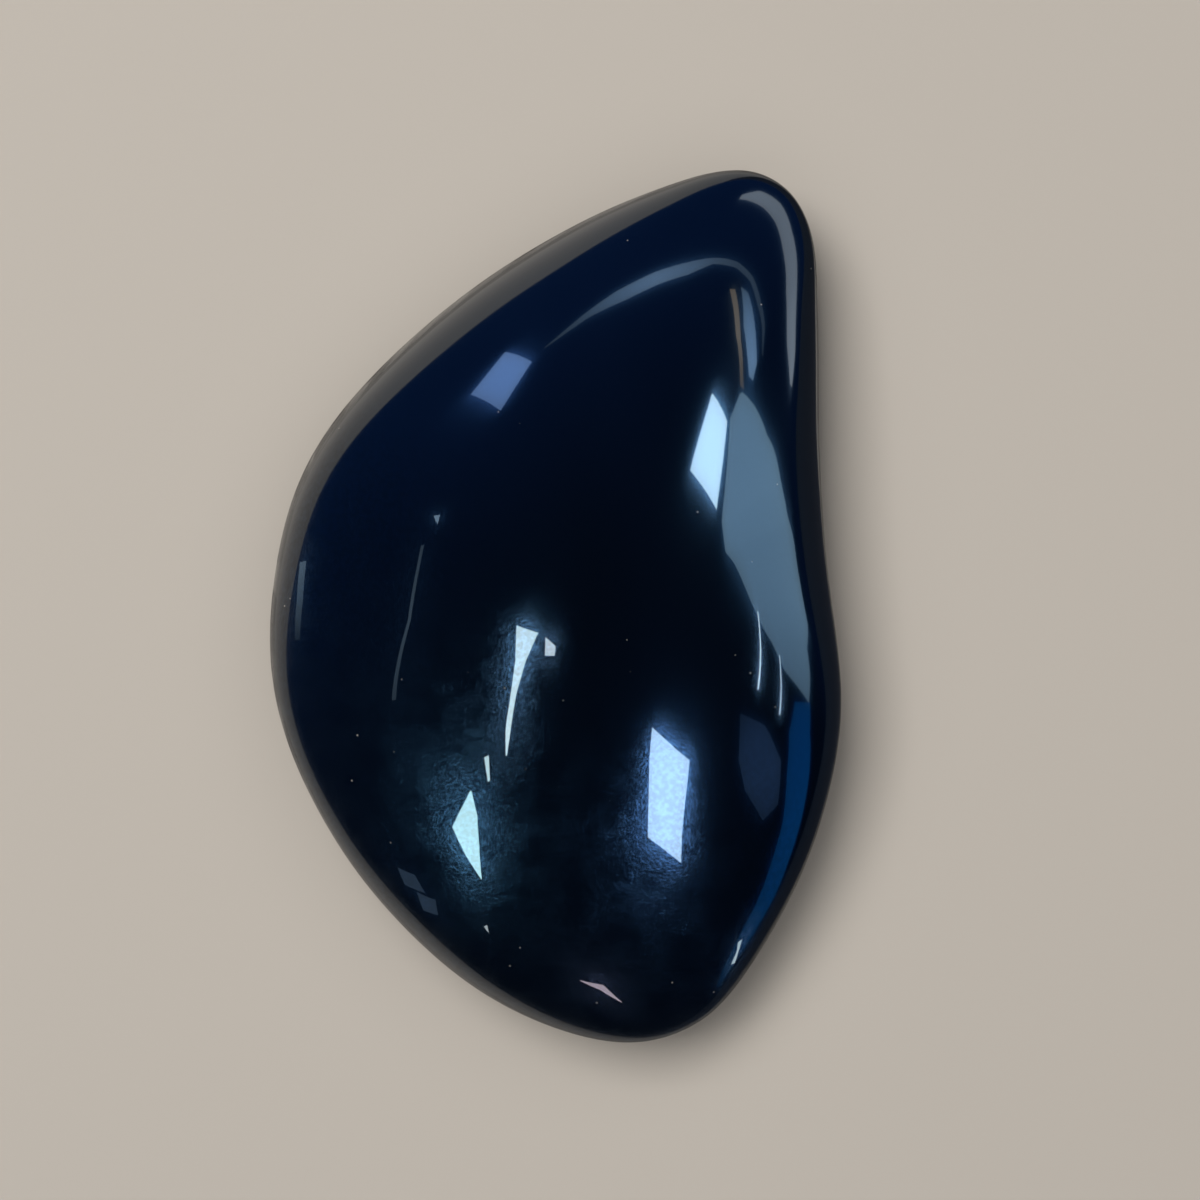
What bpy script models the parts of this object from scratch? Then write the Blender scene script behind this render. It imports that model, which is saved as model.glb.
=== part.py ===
"""Polished obsidian freeform: one pebble of black volcanic glass, in metres, +Z up.

The stone lies on its underside. Its long way runs along Y, with the narrow tip at +Y.
The origin is at the middle of the length and width, on the level of the underside.
"""
import bpy
import bmesh
import numpy as np
from math import comb

MM = 0.001

# Whole stone
HEIGHT = 22.0 * MM            # underside to the top of the dome
PEAK = (4.0 * MM, 0.0)        # where the dome is highest, right of the middle
GROUND_OFF = 1.6 * MM         # depth taken off the belly to make the flat underside
FLAT_BLEND = 0.7 * MM         # height over which the flat runs out into the belly

# Outline at the widest level, seen from above, going round to the left from the right side.
# The right side is almost straight with a slight waist and the tip is at the upper right.
OUTLINE_MM = (
    (27.6, -0.5), (26.9, 5.5), (26.5, 11.5), (26.3, 17.8), (26.3, 24.5), (26.2, 31.0),
    (25.8, 36.3), (23.9, 40.8), (20.2, 43.3), (16.0, 43.4), (11.5, 42.2),
    (4.5, 39.5), (-3.3, 35.4), (-10.1, 30.8), (-16.7, 25.1), (-22.5, 18.5),
    (-26.4, 11.0), (-28.2, 2.5), (-28.4, -5.5), (-26.6, -13.6), (-22.3, -22.4),
    (-16.3, -30.4), (-8.0, -37.8), (1.0, -42.3), (8.3, -43.5), (13.8, -41.9),
    (18.0, -38.2), (22.4, -31.3), (25.8, -23.7), (28.0, -15.0), (28.4, -7.5),
)

# Height of the widest level above the table, by direction in degrees from +X.
WIDEST_LEVEL_MM = (
    (0, 11.6), (45, 10.6), (72, 8.6), (100, 6.0), (130, 4.8), (160, 6.0),
    (180, 7.6), (210, 9.6), (240, 10.6), (262, 10.4), (288, 9.2), (320, 10.6),
)

# Radius of the rounded edge just above the widest level: a full shoulder at the upper left,
# tight at the bottom.
SHOULDER_MM = (
    (0, 2.6), (45, 2.8), (72, 3.4), (100, 8.5), (130, 11.5), (160, 9.2),
    (180, 6.4), (205, 4.8), (235, 2.8), (262, 1.8), (288, 1.8), (320, 2.4),
)

# Radius of the same edge where it turns under.
UNDER_EDGE_MM = (
    (0, 2.6), (45, 2.8), (72, 3.2), (100, 4.0), (130, 3.8), (160, 4.0),
    (180, 4.2), (205, 3.8), (235, 2.8), (262, 1.8), (288, 1.8), (320, 2.4),
)

# Radius of the dome at its top, across the stone and along it, and the way it runs.
CROWN_ACROSS = 44.0 * MM
CROWN_ALONG = 118.0 * MM
CROWN_WAY = 76.0              # degrees from +X

# The steepness at which each share of the surface bends: a low number bends near the edge,
# a high number bends near the top or the underside.
DOME_SHARES = (2, 10, 30)
BELLY_SHARES = (2, 30)

MESH_FINENESS = 5             # icosphere divisions: 5120 faces


def closed_curve(known, value, place):
    """Smooth closed curve of value against place round the stone, both in radians."""
    count = len(known)
    gap = np.diff(np.append(known, known[0] + 2 * np.pi))
    slope = np.diff(np.append(value, value[0])) / gap
    matrix = np.zeros((count, count))
    change = np.zeros(count)
    for i in range(count):
        matrix[i, i - 1] += gap[i - 1]
        matrix[i, i] += 2 * (gap[i - 1] + gap[i])
        matrix[i, (i + 1) % count] += gap[i]
        change[i] = 6 * (slope[i] - slope[i - 1])
    bend = np.linalg.solve(matrix, change)
    place = (place - known[0]) % (2 * np.pi) + known[0]
    i = np.searchsorted(known, place, side="right") - 1
    j = (i + 1) % count
    along = place - known[i]
    rise = slope[i] - gap[i] * (2 * bend[i] + bend[j]) / 6
    third = (bend[j] - bend[i]) / (6 * gap[i])
    return value[i] + along * (rise + along * (bend[i] / 2 + along * third))


def by_direction(table_mm, angle):
    degrees, size = np.array(table_mm, float).T
    return closed_curve(np.radians(degrees), size * MM, angle)


def outline_point(turn):
    """Point of the outline as seen from the peak, for a turn from 0 to 2 pi along it."""
    even = np.arange(len(OUTLINE_MM)) * 2 * np.pi / len(OUTLINE_MM)
    x, y = np.array(OUTLINE_MM).T * MM
    return closed_curve(even, x - PEAK[0], turn), closed_curve(even, y - PEAK[1], turn)


def crown_radius(angle):
    turn = angle - np.radians(CROWN_WAY)
    return 1 / (np.cos(turn) ** 2 / CROWN_ALONG + np.sin(turn) ** 2 / CROWN_ACROSS)


def run_out(sine, share):
    """Distance out for a bend that falls off as the cosine of the tilt to a given power."""
    half = share // 2
    total = 0.0
    for i in range(half + 1):
        total = total + comb(half, i) * (-1) ** i * sine ** (2 * i + 1) / (2 * i + 1)
    return total


def side_profile(shares, sizes, edge, sine, cosine):
    """Distance out and distance from the pole, for tilts from level to upright."""
    out = edge * sine
    away = edge * (1 - cosine)
    for share, size in zip(shares, sizes):
        out = out + size * run_out(sine, share)
        away = away + size * (1 - cosine ** (share + 1)) / (share + 1)
    return out, away


def stone_surface(direction):
    """Point of the stone's skin for each direction of a unit sphere."""
    east, north = outline_point(np.arctan2(direction[:, 1], direction[:, 0]))
    reach = np.hypot(east, north)
    angle = np.arctan2(north, east)
    sine = np.hypot(direction[:, 0], direction[:, 1])
    cosine = np.abs(direction[:, 2])
    level = by_direction(WIDEST_LEVEL_MM, angle)

    # The dome meets three sizes: its crown radius, the outline and the drop to the edge.
    edge = by_direction(SHOULDER_MM, angle)
    rules = [[1.0 for share in DOME_SHARES],
             [run_out(1.0, share) for share in DOME_SHARES],
             [1 / (share + 1) for share in DOME_SHARES]]
    sizes = np.linalg.solve(
        rules, [crown_radius(angle) - edge, reach - edge, HEIGHT - level - edge])
    dome_out, dome_drop = side_profile(DOME_SHARES, sizes, edge, sine, cosine)

    # The belly meets two: the outline and the rise to the edge.
    edge = by_direction(UNDER_EDGE_MM, angle)
    rules = [[run_out(1.0, share) for share in BELLY_SHARES],
             [1 / (share + 1) for share in BELLY_SHARES]]
    sizes = np.linalg.solve(rules, [reach - edge, level + GROUND_OFF - edge])
    belly_out, belly_rise = side_profile(BELLY_SHARES, sizes, edge, sine, cosine)

    upper = direction[:, 2] >= 0
    out = np.where(upper, dome_out, belly_out)
    height = np.where(upper, HEIGHT - dome_drop, belly_rise - GROUND_OFF)

    # The lowest part is ground to one plane and eased into the belly around it.
    eased = (height + FLAT_BLEND) ** 2 / (4 * FLAT_BLEND)
    height = np.where(height < FLAT_BLEND, eased * (height > -FLAT_BLEND), height)
    x = PEAK[0] + out * np.cos(angle)
    y = PEAK[1] + out * np.sin(angle)
    return np.stack([x, y, height], axis=1)


def obsidian():
    glass = bpy.data.materials.new("polished_obsidian")
    glass.use_nodes = True
    shader = glass.node_tree.nodes["Principled BSDF"]
    shader.inputs["Base Color"].default_value = (0.006, 0.007, 0.010, 1.0)
    shader.inputs["Roughness"].default_value = 0.05
    shader.inputs["Metallic"].default_value = 0.0
    shader.inputs["IOR"].default_value = 1.49
    return glass


for old in list(bpy.data.objects):
    bpy.data.objects.remove(old, do_unlink=True)

shape = bmesh.new()
bmesh.ops.create_icosphere(shape, subdivisions=MESH_FINENESS, radius=1.0)
sphere = np.array([vertex.co for vertex in shape.verts])
sphere /= np.linalg.norm(sphere, axis=1)[:, None]
skin = stone_surface(sphere)
skin[:, :2] -= (skin[:, :2].min(axis=0) + skin[:, :2].max(axis=0)) / 2
for vertex, place in zip(shape.verts, skin):
    vertex.co = place
for face in shape.faces:
    face.smooth = True
bmesh.ops.recalc_face_normals(shape, faces=shape.faces)

mesh = bpy.data.meshes.new("obsidian_stone")
shape.to_mesh(mesh)
shape.free()
mesh.materials.append(obsidian())
stone = bpy.data.objects.new("obsidian_stone", mesh)
bpy.context.scene.collection.objects.link(stone)
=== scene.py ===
from math import comb, radians

import bmesh
import bpy
import numpy as np
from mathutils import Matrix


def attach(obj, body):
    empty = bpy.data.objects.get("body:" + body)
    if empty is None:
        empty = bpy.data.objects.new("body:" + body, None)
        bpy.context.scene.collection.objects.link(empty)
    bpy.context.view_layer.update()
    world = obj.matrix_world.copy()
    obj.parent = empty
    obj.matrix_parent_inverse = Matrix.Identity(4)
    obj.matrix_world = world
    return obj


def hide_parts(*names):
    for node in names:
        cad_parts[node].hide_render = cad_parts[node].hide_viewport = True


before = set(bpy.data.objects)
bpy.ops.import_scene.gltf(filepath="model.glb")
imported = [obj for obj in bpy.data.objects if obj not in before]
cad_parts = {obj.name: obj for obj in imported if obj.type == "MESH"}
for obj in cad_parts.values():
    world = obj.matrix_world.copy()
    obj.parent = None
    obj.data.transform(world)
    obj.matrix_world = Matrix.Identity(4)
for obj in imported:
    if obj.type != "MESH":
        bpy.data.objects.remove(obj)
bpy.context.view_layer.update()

# Obsidian stone
# One piece of black volcanic glass, sawn from the raw lump, ground to a free rounded form on a
# wheel and polished to a mirror. The dome is full, the edge soft at the upper left and tight at
# the bottom, and a small flat on the underside keeps it steady.
MM = 0.001
HEIGHT = 22.0 * MM            # underside to the top of the dome
PEAK = (4.0 * MM, 0.0)        # where the dome is highest, right of the middle
GROUND_OFF = 1.6 * MM         # depth taken off the belly to make the flat underside
FLAT_BLEND = 0.7 * MM         # height over which the flat runs out into the belly

# Outline at the widest level, seen from above, going round to the left from the right side.
OUTLINE_MM = (
    (27.6, -0.5), (26.9, 5.5), (26.5, 11.5), (26.3, 17.8), (26.3, 24.5), (26.2, 31.0),
    (25.8, 36.3), (23.9, 40.8), (20.2, 43.3), (16.0, 43.4), (11.5, 42.2),
    (4.5, 39.5), (-3.3, 35.4), (-10.1, 30.8), (-16.7, 25.1), (-22.5, 18.5),
    (-26.4, 11.0), (-28.2, 2.5), (-28.4, -5.5), (-26.6, -13.6), (-22.3, -22.4),
    (-16.3, -30.4), (-8.0, -37.8), (1.0, -42.3), (8.3, -43.5), (13.8, -41.9),
    (18.0, -38.2), (22.4, -31.3), (25.8, -23.7), (28.0, -15.0), (28.4, -7.5),
)

# Height of the widest level above the table, by direction in degrees from +X.
WIDEST_LEVEL_MM = (
    (0, 11.6), (45, 10.6), (72, 8.6), (100, 6.0), (130, 4.8), (160, 6.0),
    (180, 7.6), (210, 9.6), (240, 10.6), (262, 10.4), (288, 9.2), (320, 10.6),
)

# Radius of the rounded edge just above the widest level: a full shoulder at the upper left,
# tight at the bottom.
SHOULDER_MM = (
    (0, 2.6), (45, 2.8), (72, 3.4), (100, 8.5), (130, 11.5), (160, 9.2),
    (180, 6.4), (205, 4.8), (235, 2.8), (262, 1.8), (288, 1.8), (320, 2.4),
)

# Radius of the same edge where it turns under.
UNDER_EDGE_MM = (
    (0, 2.6), (45, 2.8), (72, 3.2), (100, 4.0), (130, 3.8), (160, 4.0),
    (180, 4.2), (205, 3.8), (235, 2.8), (262, 1.8), (288, 1.8), (320, 2.4),
)

# Radius of the dome at its top, across the stone and along it, and the way it runs.
CROWN_ACROSS = 44.0 * MM
CROWN_ALONG = 118.0 * MM
CROWN_WAY = 76.0              # degrees from +X

# The steepness at which each share of the surface bends: a low number bends near the edge,
# a high number bends near the top or the underside.
DOME_SHARES = (2, 10, 30)
BELLY_SHARES = (2, 30)

FINENESS = 7                  # icosphere divisions: 81,920 faces


def closed_curve(known, value, place):
    """Smooth closed curve of value against place round the stone, both in radians."""
    count = len(known)
    gap = np.diff(np.append(known, known[0] + 2 * np.pi))
    slope = np.diff(np.append(value, value[0])) / gap
    matrix = np.zeros((count, count))
    change = np.zeros(count)
    for i in range(count):
        matrix[i, i - 1] += gap[i - 1]
        matrix[i, i] += 2 * (gap[i - 1] + gap[i])
        matrix[i, (i + 1) % count] += gap[i]
        change[i] = 6 * (slope[i] - slope[i - 1])
    bend = np.linalg.solve(matrix, change)
    place = (place - known[0]) % (2 * np.pi) + known[0]
    i = np.searchsorted(known, place, side="right") - 1
    j = (i + 1) % count
    along = place - known[i]
    rise = slope[i] - gap[i] * (2 * bend[i] + bend[j]) / 6
    third = (bend[j] - bend[i]) / (6 * gap[i])
    return value[i] + along * (rise + along * (bend[i] / 2 + along * third))


def by_direction(table_mm, angle):
    degrees, size = np.array(table_mm, float).T
    return closed_curve(np.radians(degrees), size * MM, angle)


def outline_point(turn):
    """Point of the outline as seen from the peak, for a turn from 0 to 2 pi along it."""
    even = np.arange(len(OUTLINE_MM)) * 2 * np.pi / len(OUTLINE_MM)
    x, y = np.array(OUTLINE_MM).T * MM
    return closed_curve(even, x - PEAK[0], turn), closed_curve(even, y - PEAK[1], turn)


def crown_radius(angle):
    turn = angle - np.radians(CROWN_WAY)
    return 1 / (np.cos(turn) ** 2 / CROWN_ALONG + np.sin(turn) ** 2 / CROWN_ACROSS)


def run_out(sine, share):
    """Distance out for a bend that falls off as the cosine of the tilt to a given power."""
    half = share // 2
    total = 0.0
    for i in range(half + 1):
        total = total + comb(half, i) * (-1) ** i * sine ** (2 * i + 1) / (2 * i + 1)
    return total


def side_profile(shares, sizes, edge, sine, cosine):
    """Distance out and distance from the pole, for tilts from level to upright."""
    out = edge * sine
    away = edge * (1 - cosine)
    for share, size in zip(shares, sizes):
        out = out + size * run_out(sine, share)
        away = away + size * (1 - cosine ** (share + 1)) / (share + 1)
    return out, away


def stone_surface(direction):
    """Point of the stone's skin for each direction of a unit sphere."""
    east, north = outline_point(np.arctan2(direction[:, 1], direction[:, 0]))
    reach = np.hypot(east, north)
    angle = np.arctan2(north, east)
    sine = np.hypot(direction[:, 0], direction[:, 1])
    cosine = np.abs(direction[:, 2])
    level = by_direction(WIDEST_LEVEL_MM, angle)

    # The dome meets three sizes: its crown radius, the outline and the drop to the edge.
    edge = by_direction(SHOULDER_MM, angle)
    rules = [[1.0 for share in DOME_SHARES],
             [run_out(1.0, share) for share in DOME_SHARES],
             [1 / (share + 1) for share in DOME_SHARES]]
    sizes = np.linalg.solve(
        rules, [crown_radius(angle) - edge, reach - edge, HEIGHT - level - edge])
    dome_out, dome_drop = side_profile(DOME_SHARES, sizes, edge, sine, cosine)

    # The belly meets two: the outline and the rise to the edge.
    edge = by_direction(UNDER_EDGE_MM, angle)
    rules = [[run_out(1.0, share) for share in BELLY_SHARES],
             [1 / (share + 1) for share in BELLY_SHARES]]
    sizes = np.linalg.solve(rules, [reach - edge, level + GROUND_OFF - edge])
    belly_out, belly_rise = side_profile(BELLY_SHARES, sizes, edge, sine, cosine)

    upper = direction[:, 2] >= 0
    out = np.where(upper, dome_out, belly_out)
    height = np.where(upper, HEIGHT - dome_drop, belly_rise - GROUND_OFF)

    # The lowest part is ground to one plane and eased into the belly around it.
    eased = (height + FLAT_BLEND) ** 2 / (4 * FLAT_BLEND)
    height = np.where(height < FLAT_BLEND, eased * (height > -FLAT_BLEND), height)
    x = PEAK[0] + out * np.cos(angle)
    y = PEAK[1] + out * np.sin(angle)
    return np.stack([x, y, height], axis=1)


shape = bmesh.new()
bmesh.ops.create_icosphere(shape, subdivisions=FINENESS, radius=1.0)
sphere = np.array([vertex.co for vertex in shape.verts])
sphere /= np.linalg.norm(sphere, axis=1)[:, None]
skin = stone_surface(sphere)
skin[:, :2] -= (skin[:, :2].min(axis=0) + skin[:, :2].max(axis=0)) / 2
for vertex, place in zip(shape.verts, skin):
    vertex.co = place
for face in shape.faces:
    face.smooth = True
bmesh.ops.recalc_face_normals(shape, faces=shape.faces)
mesh = bpy.data.meshes.new("stone")
shape.to_mesh(mesh)
shape.free()
stone = bpy.data.objects.new("stone", mesh)
bpy.context.scene.collection.objects.link(stone)

# The glass is nearly black with a navy cast. A sharp polish lies over a faint bluish haze of
# hairline scratches and handling marks that comes and goes in patches, with a few dust specks.
# Where the haze lies the body colour is also painted a little bluer, a painted glow over the real
# haze.
REFRACTION = 1.49
POLISH_ROUGHNESS = 0.012
RIPPLE_DEPTH = 0.004 * MM
SCRATCH_DEPTH = 0.030 * MM
HAZE_REFLECTION = 0.65

# Noise of each kind of mark: how many there are along a metre, and how many finer layers.
BANDS = (60.0, 2.0)
RIPPLES = (170.0, 1.0)
PATCHES = (300.0, 5.0)
SPECK_GROUPS = (500.0, 0.0)
POWDER = (2000.0, 4.0)
SCRATCHES = (4000.0, 4.0)
BAND_STRETCH = (1.0, 0.22, 1.0)       # the bands run along the stone

# The levels of that noise between which each kind changes over.
BAND_EDGE = (0.40, 0.62)
PATCH_EDGE = (0.30, 0.70)
GROUP_EDGE = (0.50, 0.55)
POWDER_EDGE = (0.36, 0.64)

# Specks sit at the middle of cells, with this distance from the middle to their soft edge.
SPECK_CELLS = 400.0                   # cells along a metre
SPECK_EDGE = (0.020, 0.050)           # shares of a cell

# The haze and the powdery wear fade from the lower left to the upper right, along a slope.
SLANT = 0.9
HAZE_REACH = (-30.0 * MM, 6.0 * MM)
HAZE_AMOUNT = (1.0, 0.06)
WORN_REACH = (-10.0 * MM, 12.0 * MM)
WORN_AMOUNT = (0.6, 0.04)
PATCH_AMOUNT = (0.50, 1.0)            # haze between the patches and in them
HAZE_ROUGHNESS = (0.11, 0.25)         # without haze and in full haze
# Share of the painted bluish glow put into the body colour where the haze lies.
HAZE_GLOW_SHARE = 0.3

RISING = (0.0, 1.0)
FALLING = (1.0, 0.0)

BLACK = (0.0006, 0.0020, 0.0056, 1.0)
NAVY_BAND = (0.0009, 0.0027, 0.0078, 1.0)
# The next colour is a painted glow of the haze, not a colour of the glass.
HAZE_PAINTED_GLOW = (0.0012, 0.0040, 0.0100, 1.0)
DUST_GREY = (0.30, 0.29, 0.27, 1.0)
BLUE_SHEEN = (0.33, 0.60, 1.0, 1.0)
DULL_SHEEN = (0.04, 0.07, 0.12, 1.0)

glass = bpy.data.materials.new("polished_obsidian")
glass.use_nodes = True
nodes = glass.node_tree.nodes
link = glass.node_tree.links.new
shader = nodes["Principled BSDF"]
shader.inputs["Metallic"].default_value = 0.0
shader.inputs["IOR"].default_value = REFRACTION
shader.inputs["Specular IOR Level"].default_value = HAZE_REFLECTION
shader.inputs["Coat Weight"].default_value = 1.0
shader.inputs["Coat IOR"].default_value = REFRACTION
shader.inputs["Coat Roughness"].default_value = POLISH_ROUGHNESS
place = nodes.new("ShaderNodeTexCoord").outputs["Object"]


def noise(marks, stretch=(1.0, 1.0, 1.0)):
    scale, detail = marks
    turn = nodes.new("ShaderNodeMapping")
    turn.inputs["Scale"].default_value = stretch
    link(place, turn.inputs["Vector"])
    cloud = nodes.new("ShaderNodeTexNoise")
    cloud.inputs["Scale"].default_value = scale
    cloud.inputs["Detail"].default_value = detail
    link(turn.outputs["Vector"], cloud.inputs["Vector"])
    return cloud.outputs["Fac"]


def between(value, reach, result):
    """Smooth change from the first result to the second as the value crosses its reach."""
    change = nodes.new("ShaderNodeMapRange")
    change.interpolation_type = "SMOOTHSTEP"
    change.inputs["From Min"].default_value = reach[0]
    change.inputs["From Max"].default_value = reach[1]
    change.inputs["To Min"].default_value = result[0]
    change.inputs["To Max"].default_value = result[1]
    link(value, change.inputs["Value"])
    return change.outputs["Result"]


def combine(kind, first, second):
    both = nodes.new("ShaderNodeMath")
    both.operation = kind
    for socket, value in zip(both.inputs, (first, second)):
        if isinstance(value, float):
            socket.default_value = value
        else:
            link(value, socket)
    return both.outputs["Value"]


def colour_mix(amount, first, second):
    mix = nodes.new("ShaderNodeMix")
    mix.data_type = "RGBA"
    link(amount, mix.inputs["Factor"])
    for socket, value in ((mix.inputs["A"], first), (mix.inputs["B"], second)):
        if isinstance(value, tuple):
            socket.default_value = value
        else:
            link(value, socket)
    return mix.outputs["Result"]


# Patches of haze widen the blur of the lower, bluish reflection.
across = nodes.new("ShaderNodeSeparateXYZ")
link(place, across.inputs["Vector"])
slope = combine("ADD", combine("MULTIPLY", across.outputs["X"], SLANT), across.outputs["Y"])
handled = between(slope, HAZE_REACH, HAZE_AMOUNT)
patches = between(noise(PATCHES), PATCH_EDGE, PATCH_AMOUNT)
haze = combine("MULTIPLY", handled, patches)
link(between(haze, RISING, HAZE_ROUGHNESS), shader.inputs["Roughness"])

# A powdery pattern dims that reflection in fine spots where the stone is worn.
worn = between(slope, WORN_REACH, WORN_AMOUNT)
powder = between(noise(POWDER), POWDER_EDGE, FALLING)
dulled = combine("MULTIPLY", worn, powder)
link(colour_mix(dulled, BLUE_SHEEN, DULL_SHEEN), shader.inputs["Specular Tint"])

# Dust specks lie here and there over faint bands in the glass.
cells = nodes.new("ShaderNodeTexVoronoi")
cells.inputs["Scale"].default_value = SPECK_CELLS
link(place, cells.inputs["Vector"])
specks = between(cells.outputs["Distance"], SPECK_EDGE, FALLING)
groups = between(noise(SPECK_GROUPS), GROUP_EDGE, RISING)
dust = combine("MULTIPLY", specks, groups)
bands = between(noise(BANDS, BAND_STRETCH), BAND_EDGE, RISING)
body = colour_mix(bands, BLACK, NAVY_BAND)
# Where the haze lies the body is painted a little bluer: a painted glow standing in for the
# haze's scattered reflection.
body = colour_mix(combine("MULTIPLY", haze, HAZE_GLOW_SHARE), body, HAZE_PAINTED_GLOW)
link(colour_mix(dust, body, DUST_GREY), shader.inputs["Base Color"])

# The polish has a very slight ripple, and under it the haze has a fine scratched grain.
ripple = nodes.new("ShaderNodeBump")
ripple.inputs["Distance"].default_value = RIPPLE_DEPTH
link(noise(RIPPLES), ripple.inputs["Height"])
link(ripple.outputs["Normal"], shader.inputs["Coat Normal"])
grain = nodes.new("ShaderNodeBump")
grain.inputs["Distance"].default_value = SCRATCH_DEPTH
link(haze, grain.inputs["Strength"])
link(noise(SCRATCHES), grain.inputs["Height"])
link(ripple.outputs["Normal"], grain.inputs["Normal"])
link(grain.outputs["Normal"], shader.inputs["Normal"])
mesh.materials.append(glass)

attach(stone, "root")
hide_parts("obsidian_stone")

# Floor
# A plain pale board under the stone, lightly warm and matt. It is one flat sheet, wide enough to
# fill every view.
FLOOR_REACH = 3.0             # metres from the middle to each side
FLOOR_COLOUR = (0.60, 0.57, 0.53, 1.0)
FLOOR_ROUGHNESS = 0.8
FLOOR_REFLECTION = 0.1


def matt(name, colour, roughness, reflection):
    paint = bpy.data.materials.new(name)
    paint.use_nodes = True
    surface = paint.node_tree.nodes["Principled BSDF"]
    surface.inputs["Base Color"].default_value = colour
    surface.inputs["Roughness"].default_value = roughness
    surface.inputs["Specular IOR Level"].default_value = reflection
    return paint


def add_piece(name, shape, material):
    """Mesh and object of a piece of the studio."""
    piece_mesh = bpy.data.meshes.new(name)
    shape.to_mesh(piece_mesh)
    shape.free()
    piece_mesh.materials.append(material)
    piece = bpy.data.objects.new(name, piece_mesh)
    bpy.context.scene.collection.objects.link(piece)
    return piece


board = bmesh.new()
bmesh.ops.create_grid(board, x_segments=1, y_segments=1, size=FLOOR_REACH)
pale_floor = matt("pale_floor", FLOOR_COLOUR, FLOOR_ROUGHNESS, FLOOR_REFLECTION)
floor = add_piece("floor", board, pale_floor)

# Softboxes
# Soft lamps hung above and beside the stone, each a glowing strip stretched between two rails.
# The small bright ones make the clear highlights, and the large dim ones the grey leaf on the
# right, the blue edge below it and the pale curves at the tip.
CM = 0.01
OVERHEAD_HEIGHT = 150         # centimetres above the floor

# Each has its near rail, its far rail, its colour and how brightly it glows, spread evenly from
# one end to the other. Rail points are in centimetres east and north of the stone.
OVERHEAD = {
    "north_east": (
        ((76, 68), (63, 37)),
        ((107, 54), (100, 22)),
        (0.66, 0.88, 1.0), (14,)),
    "south_east": (
        ((52, -48), (59, -96)),
        ((85, -68), (100, -120)),
        (0.5, 0.72, 1.0), (19,)),
    "south_west": (
        ((-84, -66), (-96, -78), (-110, -93), (-101, -111), (-87, -128)),
        ((-83, -66), (-81, -72), (-79, -79), (-81, -98), (-86, -128)),
        (0.56, 0.92, 1.0), (20,)),
    "south_bit": (
        ((-114, -207), (-113, -213)),
        ((-105, -198), (-110, -217)),
        (0.8, 0.95, 1.0), (9,)),
    "north_west": (
        ((-173, 175), (-183, 232)),
        ((-113, 117), (-112, 157)),
        (0.34, 0.56, 1.0), (4.1, 4.5)),
    "west_wedge": (
        ((-50, -1), (-49, -13), (-51, -25), (-53, -38), (-52, -48)),
        ((-35, -5), (-42, -14), (-47, -25), (-49, -38), (-51, -48)),
        (0.7, 0.92, 1.0), (16, 20)),
    "west_spot": (
        ((-30, -7), (-29, -13)),
        ((-22, -11), (-22, -14)),
        (0.75, 0.9, 1.0), (14,)),
    "west_line": (
        ((-130, 43), (-133, 8), (-150, -35)),
        ((-127, 43), (-130, 8), (-145, -34)),
        (0.5, 0.75, 1.0), (1, 1.4, 0.8)),
    "west_tick": (
        ((-124, 61), (-121, 57)),
        ((-118, 60), (-118, 54)),
        (0.5, 0.75, 1.0), (5,)),
    "west_slip": (
        ((-70, -49), (-67, -60)),
        ((-66, -48), (-65, -59)),
        (0.7, 0.95, 1.0), (16,)),
    "east_line_1": (
        ((177, -2), (156, -46)),
        ((180, -2), (159, -46)),
        (0.7, 0.88, 1.0), (12, 22)),
    "east_line_2": (
        ((226, -20), (212, -70)),
        ((230, -20), (216, -70)),
        (0.7, 0.88, 1.0), (9, 18)),
    "south_slip": (
        ((1, -257), (28, -261), (56, -330)),
        ((1, -260), (23, -280), (57, -336)),
        (1.0, 0.85, 1.0), (7,)),
    "north_arc": (
        ((-108, 169), (-79, 188), (-49, 198), (-14, 197), (21, 187), (54, 180), (95, 169),
         (128, 153), (157, 130), (187, 111), (197, 90)),
        ((-106, 167), (-68, 174), (-30, 168), (-3, 169), (26, 165), (55, 170), (92, 161),
         (121, 147), (144, 127), (173, 109), (192, 90)),
        (0.5, 0.74, 1.0), (0.6, 1.3, 2.6, 1.8, 1, 0.8, 0.7, 0.6)),
    "north_leg": (
        ((102, 140), (115, 106), (132, 88), (149, 75)),
        ((118, 135), (146, 107), (173, 83), (163, 74)),
        (0.46, 0.72, 1.0), (1.5, 3.6, 3.6)),
    "north_rod": (
        ((83, 137), (101, 100), (128, 69)),
        ((92, 137), (112, 97), (138, 68)),
        (1.0, 0.8, 0.58), (1.6, 2, 1)),
}

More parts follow.
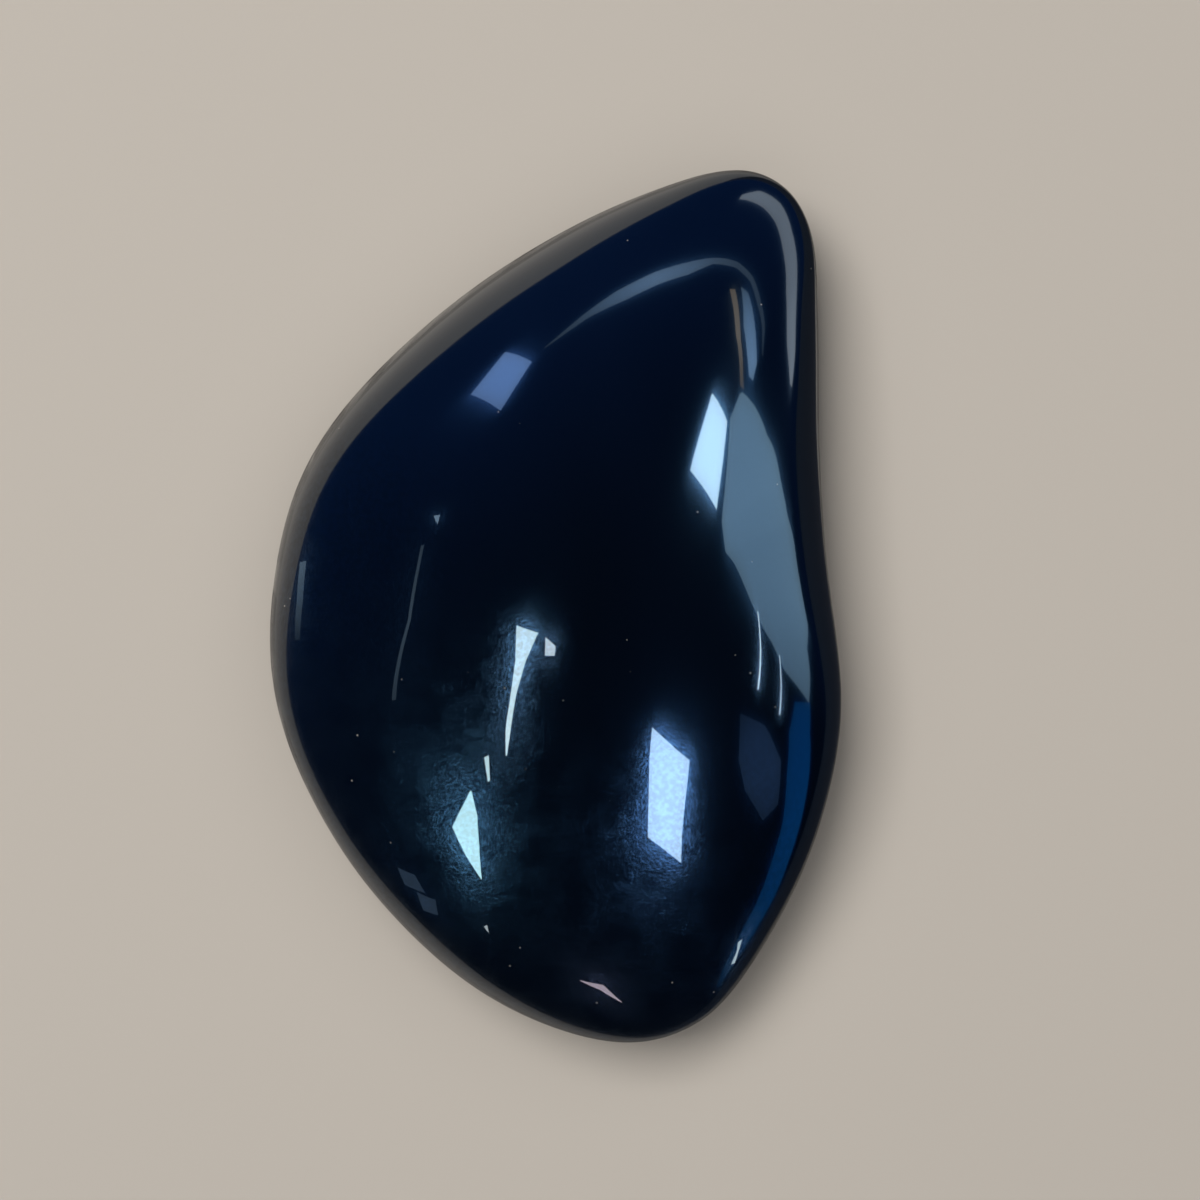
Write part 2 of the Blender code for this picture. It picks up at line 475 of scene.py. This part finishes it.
# The points of these are in centimetres east, north and up.
BESIDE = {
    "west_streak": (
        ((-247, 50, 10), (-251, 31, 30), (-252, 5, 41)),
        ((-247, 51, 37), (-251, 31, 53), (-252, 5, 59)),
        (0.5, 0.75, 1.0), (2, 1.2, 0.3)),
    "south_west_pane_1": (
        ((-198, -157, 92), (-190, -167, 73)),
        ((-191, -166, 118), (-180, -177, 105)),
        (0.4, 0.65, 1.0), (0.8,)),
    "south_west_pane_2": (
        ((-184, -174, 88), (-175, -183, 59)),
        ((-173, -185, 116), (-166, -191, 87)),
        (0.4, 0.65, 1.0), (0.8,)),
    "south_panel": (
        ((230, -102, 266), (217, -129, 237), (211, -139, 199), (210, -141, 138)),
        ((231, -100, 262), (234, -95, 200), (229, -106, 143), (219, -127, 118)),
        (0.25, 0.5, 1.0), (0.3, 0.6, 0.4)),
    "south_wedge": (
        ((185, -174, 48), (181, -177, 15)),
        ((187, -171, 40), (178, -180, 27)),
        (0.7, 0.9, 1.0), (9,)),
    "tip_curve": (
        ((64, 242, 85), (118, 220, 89), (155, 196, 93), (191, 162, 100), (221, 117, 96),
         (238, 76, 75), (244, 56, 51)),
        ((64, 242, 73), (98, 230, 50), (148, 201, 46), (194, 158, 53), (229, 101, 43),
         (242, 63, 30), (245, 52, 38)),
        (0.78, 0.84, 0.88), (2, 1.7, 1.8, 2.6)),
    "east_leaf": (
        ((225, 114, 262), (226, 111, 304), (241, 72, 325), (248, 40, 340), (251, 15, 318),
         (252, 2, 250), (252, -4, 218), (251, -16, 182), (250, -34, 154), (248, -47, 86)),
        ((227, 112, 254), (237, 88, 204), (246, 57, 148), (250, 32, 83), (251, 23, 57),
         (252, 21, 40), (252, 16, 40), (252, 2, 64), (252, -19, 70), (248, -48, 83)),
        (0.45, 0.7, 0.86), (3.4, 3.4, 2.5, 1.6)),
    "blue_edge": (
        ((246, -57, 129), (238, -86, 138), (228, -110, 119), (217, -130, 91), (206, -147, 77),
         (195, -162, 58), (186, -173, 55), (173, -186, 45), (160, -197, 28)),
        ((248, -46, 79), (242, -72, 74), (234, -96, 50), (224, -118, 30), (213, -137, 19),
         (203, -152, 5), (193, -165, 9), (180, -179, 18), (162, -195, 18)),
        (0.01, 0.3, 0.95), (0.8, 0.9, 0.7, 0.3)),
}


def hang_softbox(name, near, far, colour, glow):
    """Glowing strip between two rails. It shows in the polish and does not light the floor."""
    strip = bmesh.new()
    bmesh.ops.create_grid(strip, x_segments=len(near) - 1, y_segments=1, size=1.0)
    for vertex, point in zip(strip.verts, (*near, *far)):
        vertex.co = [distance * CM for distance in point]
    front = bpy.data.materials.new(name)
    front.use_nodes = True
    front.node_tree.nodes.clear()
    light = front.node_tree.nodes.new("ShaderNodeEmission")
    light.inputs["Color"].default_value = (*colour, 1.0)
    level = front.node_tree.nodes.new("ShaderNodeAttribute")
    level.attribute_name = "brightness"
    front.node_tree.links.new(level.outputs["Fac"], light.inputs["Strength"])
    output = front.node_tree.nodes.new("ShaderNodeOutputMaterial")
    front.node_tree.links.new(light.outputs["Emission"], output.inputs["Surface"])
    softbox = add_piece(name, strip, front)
    softbox.visible_diffuse = False
    along = np.interp(np.linspace(0, 1, len(near)), np.linspace(0, 1, len(glow)), glow)
    brightness = softbox.data.attributes.new("brightness", "FLOAT", "POINT")
    for i, value in enumerate((*along, *along)):
        brightness.data[i].value = value


for name, (near, far, colour, glow) in OVERHEAD.items():
    near = [(*point, OVERHEAD_HEIGHT) for point in near]
    far = [(*point, OVERHEAD_HEIGHT) for point in far]
    hang_softbox(name, near, far, colour, glow)
for name, (near, far, colour, glow) in BESIDE.items():
    hang_softbox(name, near, far, colour, glow)

# Lamps
# A broad warm lamp to the upper left and a wide pale light from overhead, which together light
# the floor. They leave no spot on the polish, and the lamp's light falls off to the right.
LAMP_SIZE = 0.8               # metres across
LAMP_POWER = 15.0             # watts
LAMP_COLOUR = (1.0, 0.95, 0.89)
LAMP_PLACE = (-0.50, 0.45, 1.30)
OVERHEAD_POWER = 1.0
OVERHEAD_SPREAD = radians(100)
OVERHEAD_COLOUR = (1.0, 0.96, 0.92)
OVERHEAD_PLACE = (0.0, 0.0, 1.3)

key = bpy.data.lights.new("key", "AREA")
key.size = LAMP_SIZE
key.energy = LAMP_POWER
key.color = LAMP_COLOUR
overhead = bpy.data.lights.new("overhead", "SUN")
overhead.energy = OVERHEAD_POWER
overhead.angle = OVERHEAD_SPREAD
overhead.color = OVERHEAD_COLOUR
for lamp, spot in ((key, LAMP_PLACE), (overhead, OVERHEAD_PLACE)):
    lamp_object = bpy.data.objects.new(lamp.name, lamp)
    lamp_object.location = spot
    lamp_object.visible_glossy = False
    bpy.context.scene.collection.objects.link(lamp_object)

# Shade sheet
# A wide dark sheet of painted shade on the floor to the right of the stone. It shows only in the
# polish, where it stands in for the shade there, and keeps that rim of the stone dark.
SHEET_REACH = 1.5             # metres from its middle to each side
SHEET_MIDDLE = (1.536, 0.0, 0.0005)
# The sheet's dark colour is painted shade, not a cloth.
PAINTED_SHADE_COLOUR = (0.03, 0.03, 0.04, 1.0)
SHADE_SHEET_ROUGHNESS = 0.9
SHADE_SHEET_REFLECTION = 0.5


def show_in_polish_only(piece):
    piece.visible_camera = False
    piece.visible_diffuse = False
    piece.visible_shadow = False


sheet = bmesh.new()
bmesh.ops.create_grid(sheet, x_segments=1, y_segments=1, size=SHEET_REACH)
bmesh.ops.translate(sheet, verts=sheet.verts, vec=SHEET_MIDDLE)
shade_sheet_paint = matt("painted_shade_paint", PAINTED_SHADE_COLOUR, SHADE_SHEET_ROUGHNESS, SHADE_SHEET_REFLECTION)
# A sheet of painted shade, seen only in the polish.
painted_shade_sheet = add_piece("painted_shade_sheet", sheet, shade_sheet_paint)
show_in_polish_only(painted_shade_sheet)

# Edge shade
# A soft ring of painted shade on the floor under the edge of the stone, also seen only in its
# polish.
# It runs out into the floor's colour, and keeps the rim of the stone crisp against the pale
# floor.
RING_STEPS = 96
RING_SHARES = (0.70, 1.00, 1.10, 1.20, 1.30, 1.40)    # loops, as shares of the outline
RING_HEIGHT = 0.3 * MM
LOWER_SIDE = (-10.0 * MM, 10.0 * MM)  # where the ring grows wider, along Y
LOWER_SPREAD = 1.7
RIGHT_SIDE = (10.0 * MM, 30.0 * MM)   # where its outer edge stays darker, along X
RIGHT_FADE = 0.35
# The ring's dark colour is painted shade, standing in for the shade under the edge.
PAINTED_EDGE_SHADE = (0.06, 0.055, 0.05, 1.0)
EDGE_SHADE_ROUGHNESS = 0.9
EDGE_SHADE_REFLECTION = 0.1

ring = bmesh.new()
loops = []
for share in RING_SHARES:
    loop = bmesh.ops.create_circle(ring, segments=RING_STEPS, radius=1.0)["verts"]
    turn = np.array([np.arctan2(vertex.co.y, vertex.co.x) for vertex in loop])
    east, north = outline_point(turn)
    spread = 1 + (share - 1) * np.interp(north, LOWER_SIDE, (LOWER_SPREAD, 1.0))
    for vertex, x, y in zip(loop, east * spread, north * spread):
        vertex.co = (PEAK[0] + x, PEAK[1] + y, RING_HEIGHT)
    loops.append(list(dict.fromkeys(edge for vertex in loop for edge in vertex.link_edges)))
for inner, outer in zip(loops[:-1], loops[1:]):
    bmesh.ops.bridge_loops(ring, edges=[*inner, *outer])
shade = matt("edge_shade", PAINTED_EDGE_SHADE, EDGE_SHADE_ROUGHNESS, EDGE_SHADE_REFLECTION)
edge_shade = add_piece("edge_shade", ring, shade)
show_in_polish_only(edge_shade)

# The painted shade gives way to the floor's colour from the outline to the outer loop.
fade = edge_shade.data.attributes.new("fade", "FLOAT", "POINT")
for i, vertex in enumerate(edge_shade.data.vertices):
    beyond = max(0.0, RING_SHARES[i // RING_STEPS] - 1.0) / (RING_SHARES[-1] - 1.0)
    fade.data[i].value = beyond ** 2 * np.interp(vertex.co.x, RIGHT_SIDE, (1.0, RIGHT_FADE))
outward = shade.node_tree.nodes.new("ShaderNodeAttribute")
outward.attribute_name = "fade"
tone = shade.node_tree.nodes.new("ShaderNodeMix")
tone.data_type = "RGBA"
tone.inputs["A"].default_value = PAINTED_EDGE_SHADE
tone.inputs["B"].default_value = FLOOR_COLOUR
shaded_base_colour = shade.node_tree.nodes["Principled BSDF"].inputs["Base Color"]
shade.node_tree.links.new(outward.outputs["Fac"], tone.inputs["Factor"])
shade.node_tree.links.new(tone.outputs["Result"], shaded_base_colour)

# Room
# The studio is dark overhead and to the south, and navy towards the north and west. It shows in
# the polish and does not light the floor.
NAVY_WAY = (-0.10, 0.65, -0.40)       # towards the navy side
NAVY_REACH = (-0.45, 0.38)            # how far towards it the navy begins and is full
ROOM_DARK = (0.002, 0.004, 0.008, 1.0)
ROOM_NAVY = (0.011, 0.047, 0.165, 1.0)

room = bpy.data.worlds.new("room")
bpy.context.scene.world = room
room.cycles_visibility.diffuse = False
room.use_nodes = True
walls = room.node_tree.nodes
join = room.node_tree.links.new
toward = walls.new("ShaderNodeVectorMath")
toward.operation = "DOT_PRODUCT"
toward.inputs[1].default_value = NAVY_WAY
join(walls.new("ShaderNodeTexCoord").outputs["Generated"], toward.inputs[0])
change = walls.new("ShaderNodeMapRange")
change.interpolation_type = "SMOOTHSTEP"
change.inputs["From Min"].default_value = NAVY_REACH[0]
change.inputs["From Max"].default_value = NAVY_REACH[1]
join(toward.outputs["Value"], change.inputs["Value"])
backdrop = walls.new("ShaderNodeMix")
backdrop.data_type = "RGBA"
backdrop.inputs["A"].default_value = ROOM_DARK
backdrop.inputs["B"].default_value = ROOM_NAVY
join(change.outputs["Result"], backdrop.inputs["Factor"])
join(backdrop.outputs["Result"], walls["Background"].inputs["Color"])

# Camera
# It looks straight down from hand-held distance, with north at the top of the picture and the
# stone a little to the left of the middle.
SENSOR_WIDTH = 36.0
FOCAL_LENGTH = 75.0
NEAREST = 0.01                # metres, nothing closer is drawn
CAMERA_PLACE = (0.0046, 0.00055, 0.259)

lens = bpy.data.cameras.new("camera")
lens.sensor_width = SENSOR_WIDTH
lens.lens = FOCAL_LENGTH
lens.clip_start = NEAREST
camera = bpy.data.objects.new("camera", lens)
camera.location = CAMERA_PLACE
bpy.context.scene.collection.objects.link(camera)
bpy.context.scene.camera = camera
bpy.context.scene.view_settings.view_transform = "Standard"
